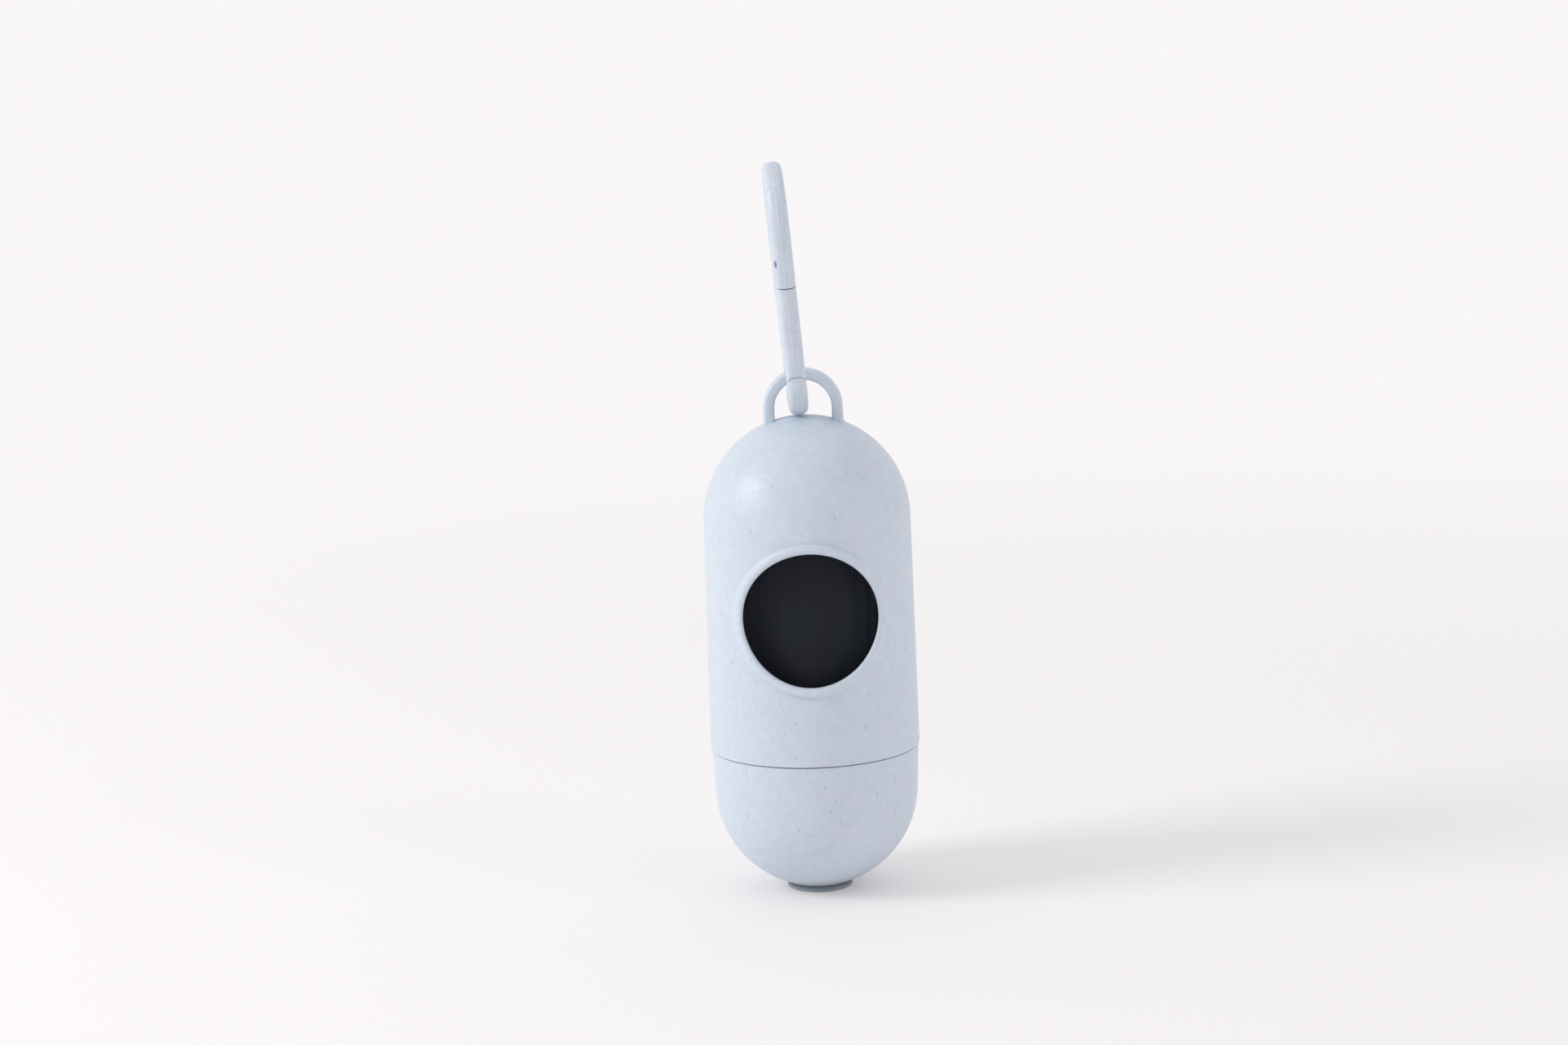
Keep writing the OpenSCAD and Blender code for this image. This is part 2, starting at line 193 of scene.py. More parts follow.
def smooth(t):
    """A soft step from 0 to 1."""
    t = min(max(t, 0.0), 1.0)
    return t * t * (3 - 2 * t)


def make(name, verts, faces):
    """A mesh object from points, with its normals outwards."""
    mesh = bpy.data.meshes.new(name)
    mesh.from_pydata([tuple(v) for v in verts], [], faces)
    shape = bmesh.new()
    shape.from_mesh(mesh)
    bmesh.ops.recalc_face_normals(shape, faces=shape.faces)
    shape.to_mesh(mesh)
    shape.free()
    piece = bpy.data.objects.new(name, mesh)
    bpy.context.scene.collection.objects.link(piece)
    return piece


def combine(piece, tool, operation):
    """Cuts, joins or intersects a piece with a tool, and removes the tool."""
    step = piece.modifiers.new("combine", "BOOLEAN")
    step.operation = operation
    step.solver = "EXACT"
    step.object = tool
    bpy.context.view_layer.update()
    graph = bpy.context.evaluated_depsgraph_get()
    mesh = bpy.data.meshes.new_from_object(piece.evaluated_get(graph))
    piece.modifiers.clear()
    piece.data = mesh
    bpy.data.objects.remove(tool)


def revolve(rows, columns, bend=None, skip=None, closed=False):
    """Turns rows of (r, z) about Z. Column 0 faces -Y, and the columns run towards +X."""
    verts, faces, index = [], [], []
    for i, (r, z) in enumerate(rows):
        if r < 1e-6:
            index.append([len(verts)] * columns)
            verts.append((0, 0, z))
            continue
        index.append(list(range(len(verts), len(verts) + columns)))
        for j in range(columns):
            a = TURN * j / columns
            ra, za = bend(i, a, r, z) if bend else (r, z)
            verts.append((ra * math.sin(a), -ra * math.cos(a), za))
    for i in range(len(rows) if closed else len(rows) - 1):
        above = index[(i + 1) % len(rows)]
        for j in range(columns):
            if skip and skip(i, j):
                continue
            k = (j + 1) % columns
            corners = dict.fromkeys([index[i][j], index[i][k], above[k], above[j]])
            faces.append(list(corners))
    return verts, faces, index


def skin(rings, ends=True):
    """Skins a list of equal rings. An end is closed by strips between mirrored points."""
    n = len(rings[0])
    verts = [p for ring in rings for p in ring]
    faces = []
    for k in range(len(rings) - 1):
        for i in range(n):
            a, b = k * n + i, k * n + (i + 1) % n
            faces.append([a, b, b + n, a + n])
    if ends:
        for start in (0, (len(rings) - 1) * n):
            for i in range(n // 2):
                corners = [i, i + 1, (n - i - 1) % n, (n - i) % n]
                faces.append([start + c for c in dict.fromkeys(corners)])
    return verts, faces


def slab(outline, thick, edge, matrix):
    """A convex outline in x and y made solid across z, with eased edges."""
    mid = sum((Vector(p) for p in outline), Vector((0, 0))) / len(outline)
    rings = []
    half = thick / 2
    for z, ease in ((-half, edge), (edge - half, 0), (half - edge, 0), (half, edge)):
        ring = []
        for p in outline:
            out = Vector(p) - mid
            q = mid + out * (1 - ease / out.length)
            ring.append(matrix @ Vector((q.x, q.y, z)))
        rings.append(ring)
    verts, faces = skin(rings, ends=False)
    n = len(outline)
    faces += [list(range(n)), list(range(3 * n, 4 * n))]
    return verts, faces


def disc(x, y, r, steps=64):
    """A full circle of points."""
    return arc(x, y, r, 0, 360 * (steps - 1) / steps, steps - 1)


def box_outline(x, y):
    """A rectangle from its limits in x and y."""
    return [(x[0], y[0]), (x[1], y[0]), (x[1], y[1]), (x[0], y[1])]


# ---------------------------------------------------------------- materials
def node(tree, kind, inputs=None, **settings):
    """Adds a shader node. An input that is a socket is linked, and any other is set."""
    made = tree.nodes.new("ShaderNode" + kind)
    for name, value in settings.items():
        setattr(made, name, value)
    for name, value in (inputs or {}).items():
        if isinstance(value, bpy.types.NodeSocket):
            tree.links.new(value, made.inputs[name])
        else:
            made.inputs[name].default_value = value
    return made


def new_material(name):
    """A node material, its tree and its shader."""
    mat = bpy.data.materials.new(name)
    mat.use_nodes = True
    return mat, mat.node_tree, mat.node_tree.nodes["Principled BSDF"]


def place_of(tree, stretch=(1, 1, 1), turn=(0, 0, 0), shift=(0, 0, 0)):
    """The place on the piece, in metres, stretched for a pattern."""
    where = node(tree, "TexCoord")
    moved = node(
        tree,
        "Mapping",
        {
            "Vector": where.outputs["Object"],
            "Location": shift,
            "Rotation": turn,
            "Scale": stretch,
        },
    )
    return moved.outputs["Vector"]


def mix(tree, factor, a, b):
    """Mixes two colours. Each input is a socket or a value."""
    made = node(tree, "Mix", data_type="RGBA")
    sockets = (made.inputs["Factor"], made.inputs[6], made.inputs[7])
    for socket, value in zip(sockets, (factor, a, b)):
        if isinstance(value, bpy.types.NodeSocket):
            tree.links.new(value, socket)
        else:
            socket.default_value = value
    return made.outputs[2]


def math_node(tree, operation, a, b):
    return node(tree, "Math", {0: a, 1: b}, operation=operation).outputs[0]


def ramp(tree, value, low, high, to_low=0.0, to_high=1.0):
    """Maps a value from one range to another and clamps it."""
    ranges = {
        "Value": value,
        "From Min": low,
        "From Max": high,
        "To Min": to_low,
        "To Max": to_high,
    }
    return node(tree, "MapRange", ranges).outputs["Result"]


def flecks(tree, vector, scale, size, share, strength):
    """Separate flecks: a share of the cells of a grid each hold one."""
    cells = node(tree, "TexVoronoi", {"Vector": vector, "Scale": scale, "Randomness": 1.0})
    dot = ramp(tree, cells.outputs["Distance"], size, size * 0.55)
    parts = node(tree, "SeparateColor", {0: cells.outputs["Color"]})
    chosen = ramp(tree, parts.outputs[0], 1 - share, 1 - share * 0.6)
    both = math_node(tree, "MULTIPLY", dot, chosen)
    return math_node(tree, "MULTIPLY", both, strength)


def finish(tree, shader, colour, rough, height, strength, distance):
    """Links a material's colour, roughness and relief to its shader."""
    tree.links.new(colour, shader.inputs["Base Color"])
    tree.links.new(rough, shader.inputs["Roughness"])
    bump = node(tree, "Bump", {"Height": height, "Strength": strength, "Distance": distance})
    tree.links.new(bump.outputs["Normal"], shader.inputs["Normal"])


def shade(colour, factor):
    """A colour made darker or lighter, with its alpha."""
    return tuple(c * factor for c in colour) + (1.0,)


# The photograph shows a dark crescent under the dome. The foot ring's outer wall is tinted to
# match it with painted shade, for the shadow in the gap under the dome. The tint is a guess.
# The height is in metres.
FOOT_TOP = 0.00133
FOOT_BLUR = 0.00004
FOOT_PAINTED_SHADE = (0.03, 0.035, 0.042, 1)


def speckled_plastic(name, base, shift, painted_foot_shade=False, streaked=False):
    """Pale plastic filled with plant fibre: mottled, finely grained, with faint short strokes."""
    mat, tree, shader = new_material(name)
    here = place_of(tree, shift=shift)
    cloud = node(tree, "TexNoise", {"Vector": here, "Scale": 170.0, "Detail": 3.0})
    tint = node(tree, "TexNoise", {"Vector": here, "Scale": 260.0, "Detail": 2.0})
    mottle = node(tree, "TexNoise", {"Vector": here, "Scale": 700.0, "Detail": 3.0})
    grain = node(tree, "TexNoise", {"Vector": here, "Scale": 2300.0, "Detail": 2.0})
    cyan = (base[0] * 0.972, base[1] * 1.006, base[2] * 1.0, 1)
    pink = (base[0] * 1.028, base[1] * 0.994, base[2] * 1.006, 1)
    colour = mix(tree, ramp(tree, tint.outputs["Fac"], 0.35, 0.65), cyan, pink)
    veils = (
        (cloud, 0.3, 0.7, 0.06, (0.40, 0.45, 0.53, 1)),
        (mottle, 0.32, 0.68, 0.14, (0.38, 0.43, 0.51, 1)),
        (grain, 0.32, 0.68, 0.08, (0.33, 0.38, 0.46, 1)),
    )
    for pattern, low, high, share, tone in veils:
        veil = ramp(tree, pattern.outputs["Fac"], low, high, 0.0, share)
        colour = mix(tree, veil, colour, tone)
    upright = place_of(tree, (1, 1, 0.24), shift=shift)
    leaning = place_of(tree, (0.3, 1, 1), (0.4, 0.7, 0.9), shift)
    marks = (
        (here, 900.0, 0.24, 0.22, 0.13, (0.86, 0.87, 0.89, 1)),
        (here, 1250.0, 0.24, 0.34, 0.15, (0.27, 0.29, 0.34, 1)),
        (upright, 1150.0, 0.18, 0.34, 0.40, (0.30, 0.30, 0.33, 1)),
        (leaning, 1100.0, 0.17, 0.09, 0.34, (0.33, 0.31, 0.31, 1)),
    )
    for vector, scale, size, share, strength, tone in marks:
        mark = flecks(tree, vector, scale, size, share, strength)
        colour = mix(tree, mark, colour, tone)
    if streaked:
        drawn = place_of(tree, (1, 1, 0.05), (0, -RING_LEAN, 0), shift)
        flow = node(tree, "TexNoise", {"Vector": drawn, "Scale": 1100.0, "Detail": 3.0})
        streaks = ramp(tree, flow.outputs["Fac"], 0.35, 0.65, 0.0, 0.26)
        colour = mix(tree, streaks, colour, (0.42, 0.47, 0.55, 1))
    # Painted shade: the foot ring's outer wall below FOOT_TOP is darkened, standing in for the
    # shadow under the dome.
    if painted_foot_shade:
        height = node(tree, "SeparateXYZ", {0: place_of(tree)}).outputs["Z"]
        below = ramp(tree, height, FOOT_TOP + FOOT_BLUR, FOOT_TOP - FOOT_BLUR)
        depth = ramp(tree, height, 0.0, FOOT_TOP * 0.8, 0.30, 0.84)
        colour = mix(tree, math_node(tree, "MULTIPLY", below, depth), colour, FOOT_PAINTED_SHADE)
    rough = ramp(tree, cloud.outputs["Fac"], 0.3, 0.7, 0.36, 0.44)
    swell = math_node(tree, "MULTIPLY", cloud.outputs["Fac"], 2.0)
    relief = math_node(tree, "ADD", grain.outputs["Fac"], swell)
    finish(tree, shader, colour, rough, relief, 0.22, 0.00006)
    shader.inputs["IOR"].default_value = 1.46
    return mat


def black_film():
    """Thin black film, wound: soft sheen, drawn into fine upright creases."""
    mat, tree, shader = new_material("black_film")
    creases = node(
        tree,
        "TexNoise",
        {"Vector": place_of(tree, (1, 1, 0.12)), "Scale": 420.0, "Detail": 4.0, "Roughness": 0.6},
    )
    haze = node(tree, "TexNoise", {"Vector": place_of(tree), "Scale": 110.0, "Detail": 3.0})
    colour = mix(tree, haze.outputs["Fac"], (0.006, 0.007, 0.011, 1), (0.011, 0.013, 0.020, 1))
    rough = ramp(tree, haze.outputs["Fac"], 0.3, 0.7, 0.58, 0.68)
    finish(tree, shader, colour, rough, creases.outputs["Fac"], 0.5, 0.00025)
    shader.inputs["Specular IOR Level"].default_value = 0.10
    shader.inputs["Sheen Weight"].default_value = 0.5
    shader.inputs["Sheen Tint"].default_value = (0.72, 0.82, 1.0, 1)
    return mat


CARD_LEAD = 0.024


def card():
    """Grey-brown card wound on a slant, with its plies and fibres."""
    mat, tree, shader = new_material("card")
    fibres = node(
        tree,
        "TexNoise",
        {"Vector": place_of(tree, (1, 1, 0.35), (0.5, 0, 0)), "Scale": 1500.0, "Detail": 4.0},
    )
    blotch = node(tree, "TexNoise", {"Vector": place_of(tree), "Scale": 220.0, "Detail": 3.0})
    where = node(tree, "SeparateXYZ", {0: place_of(tree)})
    around = math_node(tree, "ARCTAN2", where.outputs["X"], where.outputs["Y"])
    wound = math_node(
        tree,
        "FRACT",
        math_node(
            tree,
            "ADD",
            math_node(tree, "DIVIDE", around, TURN),
            math_node(tree, "DIVIDE", where.outputs["Z"], CARD_LEAD),
        ),
        0.0,
    )
    seam = ramp(tree, wound, 0.025, 0.0)
    colour = mix(tree, blotch.outputs["Fac"], (0.30, 0.235, 0.165, 1), (0.43, 0.35, 0.255, 1))
    fibrous = math_node(tree, "MULTIPLY", fibres.outputs["Fac"], 0.4)
    colour = mix(tree, fibrous, colour, (0.52, 0.44, 0.34, 1))
    colour = mix(tree, math_node(tree, "MULTIPLY", seam, 0.7), colour, (0.12, 0.09, 0.06, 1))
    rough = ramp(tree, fibres.outputs["Fac"], 0.2, 0.8, 0.8, 0.95)
    groove = math_node(tree, "MULTIPLY", seam, 2.0)
    relief = math_node(tree, "SUBTRACT", fibres.outputs["Fac"], groove)
    finish(tree, shader, colour, rough, relief, 0.5, 0.0001)
    return mat


def steel(name, base, scale, rough):
    """Drawn or cut steel, with fine streaks and a slightly uneven polish."""
    mat, tree, shader = new_material(name)
    streaks = node(
        tree, "TexNoise", {"Vector": place_of(tree, (1, 1, 4)), "Scale": scale, "Detail": 4.0}
    )
    colour = mix(tree, streaks.outputs["Fac"], shade(base, 0.82), shade(base, 1.12))
    shader.inputs["Metallic"].default_value = 1.0
    uneven = ramp(tree, streaks.outputs["Fac"], 0.3, 0.7, rough - 0.07, rough + 0.1)
    finish(tree, shader, colour, uneven, streaks.outputs["Fac"], 0.2, 0.00002)
    return mat


def dress(piece, cad_node, body, material, sharp=32):
    """Turns a finished piece to metres and puts it in the place of its CAD node."""
    mesh = piece.data
    mesh.transform(Matrix.Scale(MM, 4))
    mesh.materials.clear()
    mesh.materials.append(material)
    mesh.shade_smooth()
    mesh.set_sharp_from_angle(angle=math.radians(sharp))
    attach(piece, body)
    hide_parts(cad_node)


# ---------------------------------------------------------------- case
def shell_r(z, grow=0.0):
    """Radius of the shell's drafted flank, moved outwards by grow."""
    return (DOME_R + grow) / math.cos(SHELL_DRAFT) - (z - DOME_Z) * math.tan(SHELL_DRAFT)


def cap_r(z, grow=0.0):
    """Radius of the cap's drafted flank, moved outwards by grow."""
    return (BOWL_R + grow) / math.cos(CAP_DRAFT) + (z - BOWL_Z) * math.tan(CAP_DRAFT)


def thread(a, z, low, lead_in):
    """Height of a thread's ridge, 0 to 1, at angle a and height z."""
    best = 0.0
    for start in range(THREAD_STARTS):
        t = (a / TURN + lead_in + start / THREAD_STARTS) % 1.0
        if t > THREAD_SPAN:
            continue
        off = abs(z - low - THREAD_LEAD * t)
        ridge = min(max((THREAD_BASE / 2 - off) / (THREAD_BASE / 2 - THREAD_CREST / 2), 0), 1)
        ends = smooth(min(t, THREAD_SPAN - t) / THREAD_FADE)
        best = max(best, ridge * ends)
    return best


CASE_COLUMNS = 192
WINDOW = 31
WINDOW_H = 15.8
FLANK_ROWS = 30
SHELL_FLANK = (28.2, 30.2, 33.0, 36.0)
CAP_FLANK = (19.8, 21.5, 23.5, 25.5)


def shell_rows():
    """Profile of the shell, from the inner pole down, round the neck and up to the outer pole."""
    draft = math.degrees(SHELL_DRAFT)
    low, high = MOUTH_Z - WINDOW_H, MOUTH_Z + WINDOW_H
    slope_z = SHOULDER_Z + shell_r(SHOULDER_Z, -WALL) - NECK_IN_R
    rows = arc(0, DOME_Z, DOME_R - WALL, 90, draft, 34)
    rows[0] = (0.0, rows[0][1])
    zs = [high - (high - low) * i / FLANK_ROWS for i in range(FLANK_ROWS + 1)]
    inner = [(shell_r(z, -WALL), z) for z in zs]
    rows += inner
    rows += [(shell_r(z, -WALL), z) for z in (36.0, 33.5, slope_z + 0.2)]
    rows += line((shell_r(slope_z, -WALL), slope_z), (NECK_IN_R, SHOULDER_Z), 3)
    rows += line((NECK_IN_R, SHOULDER_Z), (NECK_IN_R, NECK_Z + 0.3), 6)
    rows += arc(NECK_IN_R + 0.3, NECK_Z + 0.3, 0.3, 180, 270, 3)
    rows += [(NECK_R - 0.4, NECK_Z), (NECK_R - 0.15, NECK_Z + 0.15), (NECK_R, NECK_Z + 0.4)]
    neck = len(rows)
    rows += line((NECK_R, NECK_Z + 0.6), (NECK_R, SEAM_Z), 44)
    after = len(rows)
    rows += [(NECK_R, SEAM_Z), (NECK_R + 0.8, SEAM_Z), (SEAM_R - 0.5, SEAM_Z)]
    foot = SEAM_Z + EDGE
    rows += arc(shell_r(foot) - EDGE, foot, EDGE, -90, 0, 4)
    rows += [(shell_r(z), z) for z in SHELL_FLANK]
    rows += [(shell_r(z), z) for z in reversed(zs)]
    rows += arc(0, DOME_Z, DOME_R, draft, 90, 38)
    rows[-1] = (0.0, rows[-1][1])
    return rows, (neck, after)


def front_y(x, z, grow):
    """The shell's front surface, moved outwards by grow."""
    return -math.sqrt(shell_r(z, grow) ** 2 - x * x)


def window_loop(index, low_row, high_row):
    """Grid vertices round the window, counter-clockwise from its lower left corner."""
    side = 1 if high_row > low_row else -1
    rows = list(range(low_row, high_row + side, side))
    columns = list(range(-WINDOW, WINDOW + 1))
    loop = [index[low_row][j % CASE_COLUMNS] for j in columns[:-1]]
    loop += [index[i][WINDOW] for i in rows[:-1]]
    loop += [index[high_row][j % CASE_COLUMNS] for j in reversed(columns[1:])]
    loop += [index[i][-WINDOW] for i in reversed(rows[1:])]
    return loop


def bead_rings():
    """Rings from the shell over the bead and through the mouth, as (radius, height)."""
    half = BEAD_W / 2
    rings = [(BEAD_FOOT, 0.0), (MOUTH_R + BEAD_W + BEAD_STEP, 0.0)]
    for i in range(13):
        a = math.radians(8 + 162 * i / 12)
        rings.append((MOUTH_R + half + half * math.cos(a), BEAD_H * math.sin(a)))
    rings += [(MOUTH_R - MOUTH_FLARE * h / WALL, h) for h in (0.0, -0.5, -1.0, -1.5)]
    rings += [(MOUTH_R + MOUTH_FLARE + 0.05, -1.7), (MOUTH_R + MOUTH_FLARE + 0.2, -WALL)]
    return rings


def add_mouth(verts, faces, outer, inner):
    """Fills the windows of both walls with rings that lead over the bead."""
    size = len(outer)
    start = [Vector((verts[v][0], verts[v][2])) for v in outer]
    end = [Vector((verts[v][0], verts[v][2])) for v in inner]
    mid = Vector((0, MOUTH_Z))
    turn = [math.atan2(p.y - MOUTH_Z, p.x) for p in start]
    rings = [outer]

    def ring(points, grow):
        rings.append(list(range(len(verts), len(verts) + size)))
        for p in points:
            verts.append((p.x, front_y(p.x, p.y, grow), p.y))

    profile = bead_rings()
    first, last = profile[0], profile[-1]
    for i in range(1, 6):
        goal = [mid + first[0] * Vector((math.cos(a), math.sin(a))) for a in turn]
        ring([p.lerp(q, i / 6) for p, q in zip(start, goal)], 0)
    for rho, height in profile:
        ring([mid + rho * Vector((math.cos(a), math.sin(a))) for a in turn], height)
    for i in range(1, 5):
        goal = [mid + last[0] * Vector((math.cos(a), math.sin(a))) for a in turn]
        ring([p.lerp(q, i / 5) for p, q in zip(goal, end)], -WALL)
    rings.append(inner)
    for a, b in zip(rings, rings[1:]):
        for k in range(size):
            m = (k + 1) % size
            faces.append([a[k], a[m], b[m], b[k]])


def loop_rings():
    """The hanging loop: up one leg, over the crown and down the other."""
    foot = math.sqrt(DOME_R**2 - (LOOP_R + LOOP_W / 2) ** 2) + DOME_Z
    sink = 0.9
    flare = 0.4
    n = 7
    section = []
    for q in range(4):
        cx = (LOOP_W / 2 - LOOP_ROUND) * (1 if q in (0, 3) else -1)
        cy = (LOOP_D / 2 - LOOP_ROUND) * (1 if q in (0, 1) else -1)
        section += arc(cx, cy, LOOP_ROUND, 90 * q, 90 * q + 90, n)
    # Each station: 1 on a leg, x, z, the turn of the section and how far its foot flares.
    stations = []
    drops = [foot - sink, foot - 0.2, foot, foot + 0.15, foot + 0.35, foot + 0.6, foot + 1.0]
    for z in drops:
        grow = flare * (1 - smooth((z - foot + 0.2) / 1.1)) ** 2
        stations.append((1, LOOP_R, z, 0.0, grow))
    for i in range(1, 4):
        stations.append((1, LOOP_R, drops[-1] + (LOOP_Z - drops[-1]) * i / 4, 0.0, 0.0))
    for i in range(41):
        a = math.pi * i / 40
        stations.append((0, LOOP_R * math.cos(a), LOOP_Z + LOOP_R * math.sin(a), a, 0.0))
    legs = [s for s in stations if s[0]]
    stations += [(1, -x, z, math.pi, grow) for _, x, z, _, grow in reversed(legs)]
    rings = []
    for _, x, z, a, grow in stations:
        ring = []
        for u, v in section:
            u2 = u + math.copysign(grow, u)
            v2 = v + math.copysign(grow, v)
            ring.append((x + u2 * math.cos(a), v2, z + u2 * math.sin(a)))
        rings.append(ring)
    return rings


def case():
    """The shell with its screw neck, mouth, bead and hanging loop."""
    rows, (neck, after) = shell_rows()

    def bend(i, a, r, z):
        if neck <= i < after:
            return r + THREAD_H * thread(a, z, THREAD_Z, 0.0), z
        return r, z

    low, high = MOUTH_Z - WINDOW_H, MOUTH_Z + WINDOW_H
    at_low = [i for i, row in enumerate(rows) if abs(row[1] - low) < 1e-6]
    at_high = [i for i, row in enumerate(rows) if abs(row[1] - high) < 1e-6]
    spans = [(min(a, b), max(a, b)) for a, b in zip(at_low, at_high)]

    def skip(i, j):
        front = j < WINDOW or j >= CASE_COLUMNS - WINDOW
        return front and any(a <= i < b for a, b in spans)

    verts, faces, index = revolve(rows, CASE_COLUMNS, bend, skip)
    inner = window_loop(index, at_low[0], at_high[0])
    outer = window_loop(index, at_low[1], at_high[1])
    add_mouth(verts, faces, outer, inner)
    piece = make("case", verts, faces)
    combine(piece, make("loop", *skin(loop_rings())), "UNION")
    return piece


def cup():
    """The screw cap: a round-bottomed cup on a foot ring, with its thread inside the rim."""
    draft = math.degrees(CAP_DRAFT)

    def bowl_z(r):
        return BOWL_Z - math.sqrt(BOWL_R**2 - r * r)

    foot_in = FOOT_R - FOOT_W
    rows = [(r, bowl_z(r)) for r in (0.0, 0.5, 1.0, 1.7, 2.5, 3.3, 4.0, foot_in - 0.25)]
    rows += [(foot_in - 0.07, bowl_z(foot_in) - 0.07), (foot_in, bowl_z(foot_in) - 0.2)]
    rows += arc(foot_in + 0.27, 0.27, 0.27, 180, 270, 4)
    rows += arc(FOOT_R - 0.27, 0.27, 0.27, -90, 0, 4)
    rows += [(FOOT_R, bowl_z(FOOT_R) - 0.25), (FOOT_R + 0.06, bowl_z(FOOT_R) - 0.07)]
    reach = FOOT_R + 0.25
    start = math.degrees(math.atan2(bowl_z(reach) - BOWL_Z, reach))
    rows += arc(0, BOWL_Z, BOWL_R, start, -draft, 36)
    rows += [(cap_r(z), z) for z in CAP_FLANK]
    top = RIM_Z - EDGE
    rows += arc(cap_r(top) - EDGE, top, EDGE, 0, 90, 4)
    rows += [(BORE_R + 0.8, RIM_Z), (BORE_R + 0.25, RIM_Z), (BORE_R + 0.07, RIM_Z - 0.07)]
    bore = len(rows)
    rows += line((BORE_R, RIM_Z - 0.25), (BORE_R, LEDGE_Z), 44)
    after = len(rows)
    ledge_r = cap_r(LEDGE_Z, -WALL)
    rows += [(BORE_R, LEDGE_Z), (ledge_r + 0.1, LEDGE_Z), (ledge_r, LEDGE_Z - 0.1)]
    rows += arc(0, BOWL_Z, BOWL_R - WALL, -draft, -90, 34)
    rows[-1] = (0.0, rows[-1][1])

    def bend(i, a, r, z):
        if bore <= i < after:
            low = THREAD_Z + THREAD_STEP - THREAD_LEAD * CAP_LEAD_IN
            return r - THREAD_H * thread(a, z, low, CAP_LEAD_IN), z
        return r, z

    return make("cup", *revolve(rows, CASE_COLUMNS, bend)[:2])


# ---------------------------------------------------------------- roll of bags
LOOSE_EDGE = math.radians(150)
FILM_BORE_R = 7.08
FILM_ROUND = 0.45


def film_roll():
    """The wound film: creased outside, with a loose edge and layered ends."""
    inner, outer = FILM_BORE_R, ROLL_HIGH.x
    low, high = ROLL_LOW.z, ROLL_HIGH.z
    layers = 44
    rs = [inner + (outer - FILM_ROUND - inner) * i / layers for i in range(layers + 1)]
    rows = [(r, low) for r in rs]
    rows += arc(outer - FILM_ROUND, low + FILM_ROUND, FILM_ROUND, -60, -20, 2)
    side = len(rows)
    rows += line((outer, low + 0.6), (outer, high - 0.6), 56)
    after = len(rows)
    rows += arc(outer - FILM_ROUND, high - FILM_ROUND, FILM_ROUND, 20, 60, 2)
    top = len(rows)
    rows += [(r, high) for r in reversed(rs)]
    bottom_end = layers + 1

    def bend(i, a, r, z):
        round_x, round_y = math.cos(a), math.sin(a)
        ease = 1.0 if side <= i < after else 0.45
        creases = noise.noise(Vector((round_x * 9, round_y * 9, z * 0.045)))
        folds = noise.noise(Vector((round_x * 26, round_y * 26, z * 0.11 + 7)))
        lift = ((a - LOOSE_EDGE) % TURN) / TURN
        if i < bottom_end or i >= top:
            depth = abs(noise.noise(Vector((r * 2.6, a * 0.8, 3.0))))
            dip = 0.1 + 0.3 * depth
            spiral = r - 0.12 * lift if r > inner + 0.5 else r
            return spiral, z + dip if i < bottom_end else z - dip
        sunk = 0.14 + 0.09 * creases + 0.05 * folds + 0.12 * (1 - lift)
        return r - max(sunk, 0.0) * ease, z

    return make("film_roll", *revolve(rows, 288, bend, closed=True)[:2])


def card_core():
    """The tube of wound card inside the roll."""
    wall, ease = 1.0, 0.12
    r_out = CORE_HIGH.x
    r_in = r_out - wall
    low, high = CORE_LOW.z, CORE_HIGH.z
    rows = arc(r_in + ease, low + ease, ease, 180, 270, 2)
    rows += arc(r_out - ease, low + ease, ease, -90, 0, 2)
    rows += line((r_out, low + 3), (r_out, high - 3), 12)
    rows += arc(r_out - ease, high - ease, ease, 0, 90, 2)
    rows += arc(r_in + ease, high - ease, ease, 90, 180, 2)
    rows += line((r_in, high - 3), (r_in, low + 3), 12)
    return make("card_core", *revolve(rows, 96, closed=True)[:2])


# ---------------------------------------------------------------- carabiner
RIDGE = 0.04
NOSE_EASE = 0.13
SEAT_TURN = math.radians(9)
HEEL_EASE = 0.02
HEEL_GAP = 0.03
# The heel draws in from RELIEF_X outwards, so that the open gate clears the dome when the
# carabiner is swung down.
HEEL_RELIEF = 0.22
RELIEF_X = 1.0


def bar_section(grow=0.0):
    """Section of the bar with the parting ridge on its outer and inner side."""
    w = BAR_D / 2 - RIDGE + grow
    d = BAR_T / 2 + grow
    r = BAR_ROUND + grow
    quarter = [(w + RIDGE, 0.0), (w + RIDGE * 0.8, 0.05), (w, 0.11)]
    quarter += arc(w - r, d - r, r, 0, 90, 9)
    quarter += [(0.0, d)]
    half = quarter + [(-x, z) for x, z in reversed(quarter[:-1])]
    return half + [(x, -z) for x, z in reversed(half[1:-1])]


def end_ring(reach, sign, ease, grow, relief=0.0):
    """A ring on a cylinder about the gate's pivot, moved by ease along the arm.

    With relief, the cylinder draws in towards the ring's outer side.
    """
    ring = []
    for x, z in bar_section(grow):
        r = reach - relief * smooth((x - RELIEF_X) / (BAR_D / 2 - RELIEF_X))
        y = sign * math.sqrt(r**2 - min(x + PIVOT_IN, r) ** 2) + ease
        ring.append(GATE @ Vector((x, y, z)))
    return ring


def bend_ring(radius, centre_y, a):
    """A ring across the bar where it turns about a point on the ring's middle line."""
    ring = []
    for x, z in bar_section():
        out = radius + x
        ring.append(RING @ Vector((out * math.cos(a), centre_y + out * math.sin(a), z)))
    return ring


